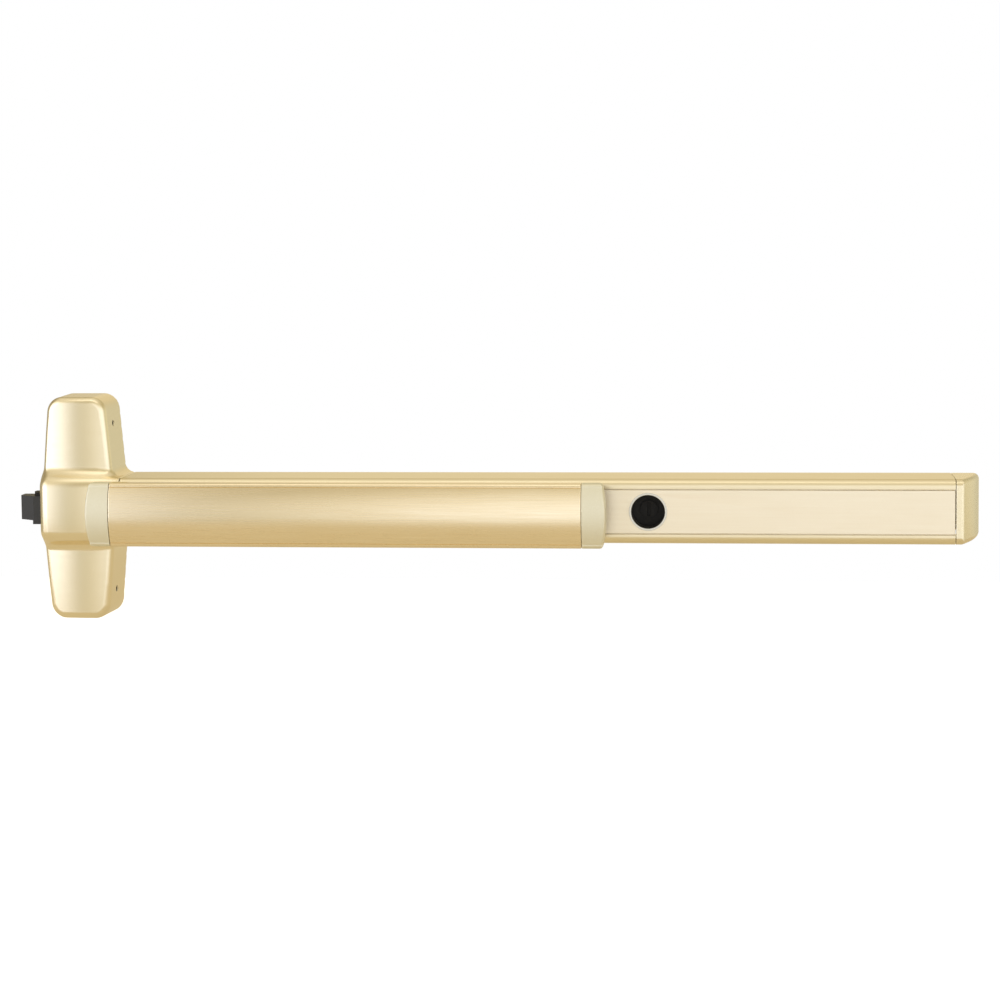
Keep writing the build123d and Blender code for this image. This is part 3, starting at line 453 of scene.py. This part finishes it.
def net_piece(name, field, low, high, step, node, slot):
    """A piece whose surface is a distance field's, with smooth normals."""
    vertices, quads = surface_net(field, low, high, step)
    slope = slope_of(field)
    moves, share = 2, 0.9
    for _ in range(moves):
        away = np.clip(field(*vertices.T), -step / 2, step / 2)
        vertices = vertices - slope(vertices) * away[:, None] * share
    place(name, vertices, quads.tolist(), node, slot, slope)


def common(first, *others):
    """The part that all the fields hold."""
    for other in others:
        first = np.maximum(first, other)
    return first


def slab(value, low, high):
    """A slab between two places."""
    return np.abs(value - (low + high) / 2) - (high - low) / 2


def round_and(a, b, radius):
    """The common part of two fields, with its edge rounded."""
    outside = np.hypot(np.maximum(a + radius, 0), np.maximum(b + radius, 0))
    return np.minimum(np.maximum(a, b), -radius) + outside


def round_or(a, b, radius):
    """Two fields together, with the hollow between them rounded."""
    inside = np.hypot(np.maximum(radius - a, 0), np.maximum(radius - b, 0))
    return np.maximum(np.minimum(a, b), radius) - inside


def between(first, last, share):
    """A value that lies a share of the way from the first to the last."""
    return first + (last - first) * share


def lobe_field(x, y, z):
    """The two lobes: drafted towards their front and tapered towards their ends."""
    depth = -y
    share = depth / lobe_depth
    slope_length = 0.996
    side = (np.abs(x) - (lobe_half - lobe_side_draft * share - lobe_taper * np.abs(z))) * slope_length
    end = np.abs(z) - (cover_half - lobe_end_draft * share)
    crown = np.sqrt(lobe_crown ** 2 - (x - lobe_crown_top) ** 2) - lobe_crown
    growth_start, growth_length = 70.0, 30.0
    rim = lobe_rim + lobe_rim_growth * np.clip((np.abs(z) - growth_start) / growth_length, 0, 1)
    return round_and(round_and(side, end, lobe_corner), depth - lobe_depth - crown, rim)


def band_field(x, y, z):
    """The deeper band across the lobes, which narrows to the mechanism case's section."""
    depth = -y
    share = np.clip((x - band_taper_start) / (case_start - band_taper_start), 0, 1)
    side = np.abs(z) - between(band_half, case_half, share)
    across = np.sqrt(band_crown_across ** 2 - x * x)
    along = np.sqrt(band_crown_along ** 2 - z * z)
    crown = (across + along - (band_crown_across + band_crown_along)) * (1 - share)
    front = depth - between(band_depth, case_depth, share) - crown
    body = round_and(side, front, between(band_edge, case_corner, share))
    left = -x - (band_left + band_left_draft - band_left_draft * depth / band_depth)
    return round_and(body, left, band_left_edge)


def cover_field(x, y, z):
    """The cover's shell, open to the door and the mechanism case, with the latch's window."""
    outside = round_or(lobe_field(x, y, z), band_field(x, y, z), valley)
    rim = round_and(outside, x - case_start + cover_end_gap, cover_end_edge)
    shell = common(rim, -outside - cover_wall, y)
    across = slab(-y, latch_depth_low - side_gap, latch_depth_high + side_gap)
    window = common(across, np.abs(z) - (latch_zone_half + side_gap), x - window_end)
    from_screw = np.hypot(y + cover_screw_depth, np.abs(z) - cover_screw_height)
    screws = from_screw - (cover_screw_head_radius + running_gap)
    return common(shell, -window, -screws)


def center_case_cover():
    """Cast cover with its two lobes and its band."""
    low, high, step = (-39.7, -61.7, -103.1), (44.1, 1.3, 103.1), 1.0
    net_piece("cover", cover_field, low, high, step, "center_case_cover", "cast_brass")


def bar_section(depth, z):
    """The push bar's section: square shoulders and a crowned face between them."""
    crown = common(np.hypot(depth - bar_crown_centre, z) - bar_crown_radius, np.abs(z) - bar_edge)
    return np.minimum(depth - bar_side, crown)


def bar_cap(name, inner, outer):
    """Moulded end cap of the push bar, with its tongue inside the skin."""
    side = 1 if outer > inner else -1
    bend = round(arc_radius(bar_half, bar_cap_bulge), 1)
    front_edge, end_edge, margin, step = 2.0, 3.0, 1.5, 0.6
    end_wall = bar_cap_bulge + bar_cap_wall
    tongue_outside = bar_skin + bar_seam / 2
    tongue_inside = tongue_outside + bar_cap_tongue_wall

    def field(x, y, z):
        depth = -y
        front = bar_section(depth, z)
        edge = np.abs(z) - bar_half
        end = np.hypot(side * (x - outer) + bend, z) - bend
        section = round_and(edge, front, bar_shoulder)
        rounded = common(section, round_and(end, front, front_edge), round_and(edge, end, end_edge))
        outside = common(rounded, side * (inner - x))
        hollow = common(section + bar_cap_wall, side * (x - outer) + end_wall)
        tongue = common(section + tongue_outside, -section - tongue_inside)
        tongue = common(tongue, side * (inner - x) - bar_cap_tongue, side * (x - inner) - bar_cap_wall)
        return common(np.minimum(common(outside, -hollow), tongue), bar_back - depth)

    low, high = sorted((inner - side * (bar_cap_tongue + margin), outer + side * margin))
    net_piece(name + "_shell", field, (low, -98.3, -30.1), (high, -78.9, 30.1), step, name, "cap_brass")


def bar_profile(inset):
    """Half of the bar's section, from its back flange to its middle, as (depth, z) points."""
    shoulder_steps, crown_steps = 8, 24
    crease, crease_depth, crease_rise = 0.35, 0.5, 0.07
    bend = bar_side - bar_shoulder
    points = [(bar_back, bar_half - inset), (bend, bar_half - inset)]
    radius = bar_shoulder - inset
    for step in range(1, shoulder_steps):
        angle = math.pi / 2 * step / shoulder_steps
        points.append((bend + radius * math.sin(angle), bar_edge + radius * math.cos(angle)))
    top = bar_side - inset
    points.append((top, bar_edge + crease))
    points.append((top - crease_depth * (inset == 0), bar_edge))
    points.append((top + crease_rise, bar_edge - crease))
    crown = bar_crown_radius - inset
    for step in range(1, crown_steps + 1):
        angle = math.asin((bar_edge - crease) / bar_crown_radius) * (1 - step / crown_steps)
        points.append((bar_crown_centre + crown * math.cos(angle), crown * math.sin(angle)))
    return points


def bar_ring(inset):
    """The bar's whole section, from flange to flange."""
    half = bar_profile(inset)
    return half + [(depth, -z) for depth, z in half[-2::-1]]


def push_bar():
    """Formed skin of the bar, with a small rounded lip at each end."""
    lip, lip_steps = 0.9, 5
    stations = [(bar_start, bar_skin)]
    for step in range(lip_steps + 1):
        angle = math.pi / 2 * step / lip_steps
        stations.append((bar_start + lip * (1 - math.cos(angle)), lip * (1 - math.sin(angle))))
    stations += [(bar_end - (x - bar_start), inset) for x, inset in stations[::-1]]
    outer, inner = bar_ring(0.0), bar_ring(bar_skin)
    vertices, faces = [], []
    for x, inset in stations:
        share = inset / bar_skin
        if share in (0, 1):
            ring = inner if share else outer
        else:
            ring = [(between(a[0], b[0], share), between(a[1], b[1], share)) for a, b in zip(outer, inner)]
        vertices += [(x, -depth, z) for depth, z in ring]
    count = len(outer)
    rings = len(stations)
    for i in range(rings):
        j = (i + 1) % rings
        for k in range(count - 1):
            faces.append((i * count + k, i * count + k + 1, j * count + k + 1, j * count + k))
    faces.append([i * count for i in range(rings)])
    faces.append([i * count + count - 1 for i in range(rings)][::-1])
    piece = place("bar_skin", vertices, faces, "push_bar", "bar_brass")
    piece.data.set_sharp_from_angle(angle=math.radians(30))


def face_with_hole(vertices, corner, ring, turns, towards_door):
    """Triangles between four corners and a round hole in one plane."""
    loops = [list(range(corner, corner + 4)), list(range(ring, ring + turns))]
    order = loops[0] + loops[1]
    outlines = [[Vector((vertices[v][0], vertices[v][2], 0)) for v in loop] for loop in loops]
    faces = []
    for triangle in tessellate_polygon(outlines):
        face = [order[v] for v in triangle]
        a, b, c = (vertices[v] for v in face)
        area = (b[0] - a[0]) * (c[2] - a[2]) - (b[2] - a[2]) * (c[0] - a[0])
        faces.append(tuple(face if (area > 0) != towards_door else face[::-1]))
    return faces


def cover_plate():
    """Inlay between the case's lips: a stepped slab with a round hole for the cylinder."""
    end_gap, bevel, turns = 0.5, 0.25, 96
    layers = [
        (plate_back, plate_tongue_half, 0.0),
        (plate_step, plate_tongue_half, 0.0),
        (plate_step, plate_half, end_gap),
        (case_depth - bevel, plate_half, end_gap),
        (case_depth, plate_half - bevel, end_gap + bevel),
    ]
    vertices, faces = [], []
    for depth, half, gap in layers:
        end = case_end - gap
        corners = [(plate_start, -half), (end, -half), (end, half), (plate_start, half)]
        vertices += [(x, -depth, z) for x, z in corners]
    ring = len(vertices)
    hole = collar_sleeve_radius + running_gap
    angles = [2 * math.pi * k / turns for k in range(turns)]
    round_hole = [(cylinder_x + hole * math.cos(angle), hole * math.sin(angle)) for angle in angles]
    for depth in (plate_back, case_depth):
        vertices += [(x, -depth, z) for x, z in round_hole]
    for row in range(len(layers) - 1):
        for k in range(4):
            a, b = 4 * row + k, 4 * row + (k + 1) % 4
            faces.append((a, b, b + 4, a + 4))
    for k in range(turns):
        a, b = ring + k, ring + (k + 1) % turns
        faces.append((b, a, a + turns, b + turns))
    faces += face_with_hole(vertices, 0, ring, turns, True)
    faces += face_with_hole(vertices, 4 * len(layers) - 4, ring + turns, turns, False)
    piece = place("inlay", vertices, faces, "cover_plate", "inlay_brass")
    piece.data.set_sharp_from_angle(angle=math.radians(20))


def end_cap():
    """Moulded end cap: a hollow wedge with two tongues in the mechanism case."""
    slant_x, slant_depth, slant_radius = 644.9, -19.2, 165.0
    slant_edge, front_edge, start_edge = 5.0, 2.0, 0.5
    tongue_low, tongue_high = 16.0, 44.58
    tongue_outer = case_half - case_wall - cap_gap
    foot_outer = case_half - cap_rib
    screw_x = 794.0
    screw_seat = cap_wall / 2 - case_half

    def field(x, y, z):
        depth = -y
        edge = np.abs(z) - case_half
        front = depth - case_depth
        slant = np.hypot(x - slant_x, depth - slant_depth) - slant_radius
        outside = common(round_and(edge, front, case_corner), round_and(edge, slant, slant_edge))
        outside = common(outside, round_and(front, slant, front_edge))
        rim = round_and(outside, case_end + cap_seam - x, start_edge)
        shell = common(rim, -outside - cap_wall, y)
        across = slab(depth, tongue_low, tongue_high)
        tongue = common(across, slab(x, case_end - cap_tongue, cap_start + cap_rib))
        tongue = common(tongue, slab(np.abs(z), tongue_outer - cap_rib, tongue_outer))
        foot = common(across, slab(x, cap_start, cap_start + cap_rib))
        foot = common(foot, slab(np.abs(z), tongue_outer - cap_rib, foot_outer))
        from_screw = np.hypot(x - screw_x, depth - end_screw_depth)
        hole = common(from_screw - (end_screw_radius + running_gap), z)
        seat = common(from_screw - (end_screw_head_radius + running_gap), z - screw_seat)
        body = np.minimum(np.minimum(shell, tongue), foot)
        return common(body, -np.minimum(hole, seat))

    low, high, step = (772.9, -58.3, -29.7), (810.1, 1.2, 29.7), 0.7
    net_piece("end_cap_shell", field, low, high, step, "end_cap", "end_brass")


def set_camera():
    """Camera at the photograph's angle."""
    yaw, pitch, roll = (math.radians(a) for a in camera_angles)
    forward = Vector((-math.sin(yaw) * math.cos(pitch), math.cos(yaw) * math.cos(pitch), -math.sin(pitch)))
    level = Vector((math.cos(yaw), math.sin(yaw), 0.0))
    down = forward.cross(level)
    right = math.cos(roll) * level + math.sin(roll) * down
    down = -math.sin(roll) * level + math.cos(roll) * down
    data = bpy.data.cameras.new("camera")
    data.lens = 83.4
    data.shift_y = -0.1
    data.sensor_width = 36.0
    data.clip_end = 60.0
    camera = bpy.data.objects.new("camera", data)
    turn = Matrix((right, -down, -forward)).transposed().to_4x4()
    camera.matrix_world = Matrix.Translation(camera_place) @ turn
    bpy.context.scene.collection.objects.link(camera)
    bpy.context.scene.camera = camera


def area_lamp(name, at, towards, size, power, shine):
    """Soft rectangular lamp that faces a point."""
    data = bpy.data.lights.new(name, "AREA")
    data.shape = "RECTANGLE"
    data.size, data.size_y = size
    data.energy = power
    data.specular_factor = shine
    lamp = bpy.data.objects.new(name, data)
    direction = Vector(towards) - Vector(at)
    lamp.matrix_world = Matrix.Translation(at) @ direction.to_track_quat("-Z", "Y").to_matrix().to_4x4()
    bpy.context.scene.collection.objects.link(lamp)


def colour_ramp(tree, value, stops):
    """Colours that run from stop to stop over a value."""
    node = tree.nodes.new("ShaderNodeValToRGB")
    node.color_ramp.interpolation = "LINEAR"
    elements = node.color_ramp.elements
    while len(elements) < len(stops):
        elements.new(0.5)
    for element, (position, colour) in zip(elements, stops):
        element.position = position
        element.color = (*colour, 1.0)
    tree.links.new(value, node.inputs["Fac"])
    return node.outputs["Color"]


def bearing(degrees):
    """Place on a ramp of a direction, in degrees to the viewer's right of straight out from the door."""
    return degrees / 360 + 0.5


# The room's colour all round the device, and then from below it to above it
room_around = [
    (bearing(-180), (0.88, 0.79, 0.58)),
    (bearing(-168), (0.88, 0.79, 0.58)),
    (bearing(-156), (0.40, 0.36, 0.26)),
    (bearing(-92), (0.40, 0.36, 0.26)),
    (bearing(-80), (1.70, 1.75, 1.95)),
    (bearing(-40), (1.90, 1.98, 2.35)),
    (bearing(-29), (1.22, 1.27, 1.40)),
    (bearing(-22), (0.40, 0.365, 0.26)),
    (bearing(-17), (0.58, 0.53, 0.385)),
    (bearing(-12), (0.83, 0.79, 0.68)),
    (bearing(-3), (1.08, 1.09, 1.13)),
    (bearing(8), (1.12, 1.14, 1.20)),
    (bearing(60), (1.28, 1.32, 1.40)),
    (bearing(90), (0.66, 0.63, 0.48)),
    (bearing(145), (0.80, 0.76, 0.60)),
    (bearing(158), (0.50, 0.49, 0.38)),
    (bearing(170), (0.86, 0.77, 0.56)),
    (bearing(180), (0.88, 0.79, 0.58)),
]
room_upwards = [
    (0.0, (0.34, 0.28, 0.14)),
    (0.25, (0.69, 0.64, 0.47)),
    (0.36, (0.87, 0.85, 0.78)),
    (0.435, (1.02, 1.02, 1.02)),
    (0.56, (1.02, 1.01, 0.99)),
    (0.70, (0.85, 0.805, 0.69)),
    (0.79, (0.65, 0.585, 0.43)),
    (0.88, (0.72, 0.655, 0.50)),
    (1.0, (0.90, 0.85, 0.74)),
]
room_overhead = (0.92, 0.90, 0.84)


def room_colour(tree):
    """Colour of the room in each direction."""
    coordinates = tree.nodes.new("ShaderNodeTexCoord")
    split = tree.nodes.new("ShaderNodeSeparateXYZ")
    tree.links.new(coordinates.outputs["Generated"], split.inputs["Vector"])
    turn = tree.nodes.new("ShaderNodeMath")
    turn.operation = "MULTIPLY"
    turn.inputs[1].default_value = -1.0
    tree.links.new(split.outputs["Y"], turn.inputs[0])
    angle = tree.nodes.new("ShaderNodeMath")
    angle.operation = "ARCTAN2"
    tree.links.new(split.outputs["X"], angle.inputs[0])
    tree.links.new(turn.outputs["Value"], angle.inputs[1])
    around = colour_ramp(tree, ramp(tree, angle.outputs["Value"], 0.0, 1.0, -math.pi, math.pi), room_around)
    upwards = colour_ramp(tree, ramp(tree, split.outputs["Z"], 0.0, 1.0, -1.0, 1.0), room_upwards)
    overhead = ramp(tree, split.outputs["Z"], 0.0, 1.0, 0.45, 0.85)
    both = tree.nodes.new("ShaderNodeMix")
    both.data_type = "RGBA"
    both.blend_type = "MULTIPLY"
    both.inputs["Factor"].default_value = 1.0
    tree.links.new(mix(tree, overhead, around, room_overhead), both.inputs["A"])
    tree.links.new(upwards, both.inputs["B"])
    return both.outputs["Result"]


def seen_instead(tree, output, lit, seen):
    """Join two shaders to an output: one that the camera sees, and one that lights the device."""
    path = tree.nodes.new("ShaderNodeLightPath")
    blend = tree.nodes.new("ShaderNodeMixShader")
    tree.links.new(path.outputs["Is Camera Ray"], blend.inputs["Fac"])
    tree.links.new(lit, blend.inputs[1])
    tree.links.new(seen, blend.inputs[2])
    tree.links.new(blend.outputs["Shader"], output.inputs["Surface"])


def set_light():
    """Soft studio light: a large pale room, brighter at both sides and dimmer above and below."""
    area_lamp("key", at=(0.2, -1.0, 2.6), towards=(0.4, 0.0, 0.0), size=(2.4, 1.2), power=5.0, shine=0.1)
    world = bpy.data.worlds.new("studio")
    world.use_nodes = True
    tree = world.node_tree
    tree.nodes.clear()
    output = tree.nodes.new("ShaderNodeOutputWorld")
    seen = tree.nodes.new("ShaderNodeBackground")
    seen.inputs["Color"].default_value = (1, 1, 1, 1)
    seen.inputs["Strength"].default_value = 1.0
    room = tree.nodes.new("ShaderNodeBackground")
    tree.links.new(room_colour(tree), room.inputs["Color"])
    room.inputs["Strength"].default_value = 1.05
    seen_instead(tree, output, room.outputs["Background"], seen.outputs["Background"])
    bpy.context.scene.world = world


def floor_material():
    """Pale speckled floor, which throws a warm tone back at the device."""
    material, tree, shader = new_material("floor")
    speckle = noise(tree, mapped(tree, (1.0, 1.0, 1.0)), 40.0)
    tree.links.new(mix(tree, speckle, (0.95, 0.95, 0.95), (0.93, 0.93, 0.93)), shader.inputs["Base Color"])
    shader.inputs["Roughness"].default_value = 0.9
    bounce = tree.nodes.new("ShaderNodeBsdfDiffuse")
    bounce.inputs["Color"].default_value = (0.84, 0.768, 0.62, 1)
    glow = tree.nodes.new("ShaderNodeEmission")
    glow.inputs["Color"].default_value = (1, 1, 1, 1)
    glow.inputs["Strength"].default_value = 0.6
    both = tree.nodes.new("ShaderNodeAddShader")
    tree.links.new(shader.outputs["BSDF"], both.inputs[0])
    tree.links.new(glow.outputs["Emission"], both.inputs[1])
    output = next(n for n in tree.nodes if n.type == "OUTPUT_MATERIAL")
    seen_instead(tree, output, bounce.outputs["BSDF"], both.outputs["Shader"])
    return material


def make_floor():
    """Pale floor below the device."""
    (left, near), (right, far) = floor_low, floor_high
    corners = [(left, near), (right, near), (right, far), (left, far)]
    mesh = bpy.data.meshes.new("floor")
    mesh.from_pydata([(x, y, floor_height) for x, y in corners], [], [(0, 1, 2, 3)])
    floor = bpy.data.objects.new("floor", mesh)
    bpy.context.scene.collection.objects.link(floor)
    mesh.materials.append(floor_material())


makers = (
    cast_brass, case_brass, inlay_brass, bar_brass, cap_brass, end_brass, latch_steel, deadlatch_steel,
    plated_steel, rod_steel, spring_steel, screw_steel, rail_aluminium, damper_body, ring_chrome,
)
materials = {maker.__name__: maker() for maker in makers}
for entry in frame["record"]["subparts"]:
    mesh = nodes[entry["node"]].data
    mesh.materials.clear()
    mesh.materials.append(materials[entry["material_slot"]])

center_case_cover()
push_bar()
cover_plate()
bar_cap("push_bar_cap_left", bar_start - bar_seam, bar_start - bar_cap_length)
bar_cap("push_bar_cap_right", bar_end + bar_seam, bar_end + bar_cap_length)
end_cap()
set_camera()
set_light()
make_floor()

bpy.context.scene.view_settings.view_transform = "Standard"
